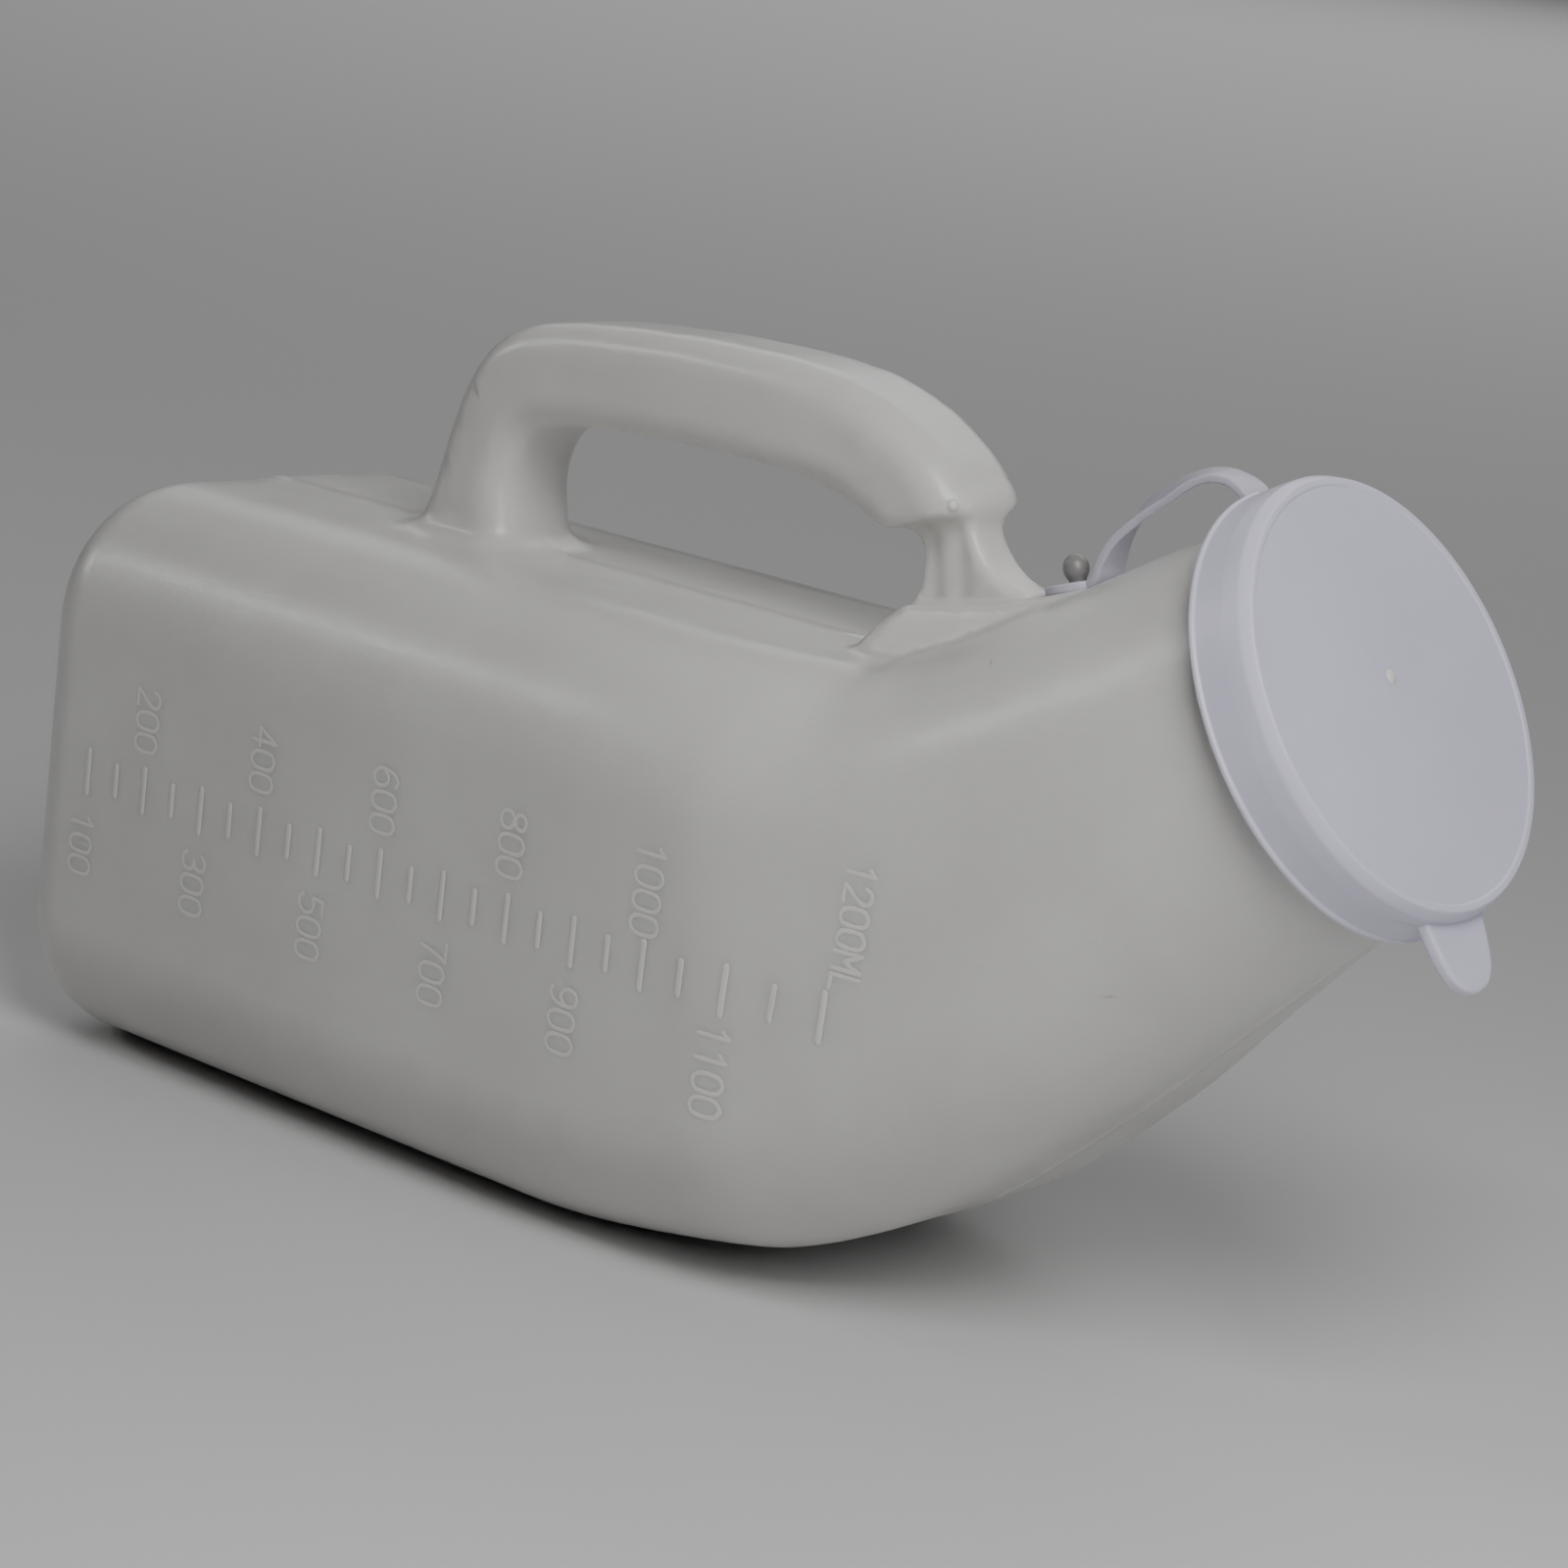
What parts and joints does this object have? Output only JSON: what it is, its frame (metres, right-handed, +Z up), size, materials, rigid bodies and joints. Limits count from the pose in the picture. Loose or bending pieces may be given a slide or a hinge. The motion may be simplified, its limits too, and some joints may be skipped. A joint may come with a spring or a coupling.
{
  "type": "urine bottle",
  "caption": "Hand-held urine bottle with a loop handle, a raised volume scale and a press-on lid on a strap.",
  "frame": {"origin": "centre of the bounding box on the surface that the bottle lies on, in its plane of symmetry", "axes": "+X from the flat end towards the mouth, +Y across the bottle, +Z up; the scale is on the -Y side"},
  "size_m": [0.2508, 0.0884, 0.1341],
  "materials": {
    "bottle": "translucent natural polyethylene, satin",
    "lid": "translucent white polyethylene with a lilac cast, satin"
  },
  "bodies": {
    "bottle": {"bottle_shell": "bottle", "neck_finish": "bottle", "handle_grip": "bottle", "handle_front_post": "bottle", "handle_plinth": "bottle", "tether_stud": "bottle", "tether_eyelet": "lid", "lid_strap": "lid"},
    "lid": {"lid_cap": "lid", "lid_seal_ring": "lid", "lid_pull_tab": "lid"}
  },
  "joints": [
    {"name": "lid_open", "type": "hinge", "parent": "bottle", "child": "lid", "pos_m": [0.07889, 0, 0.12811], "axis": [0, -1, 0], "range_deg": [0, 90]}
  ]
}
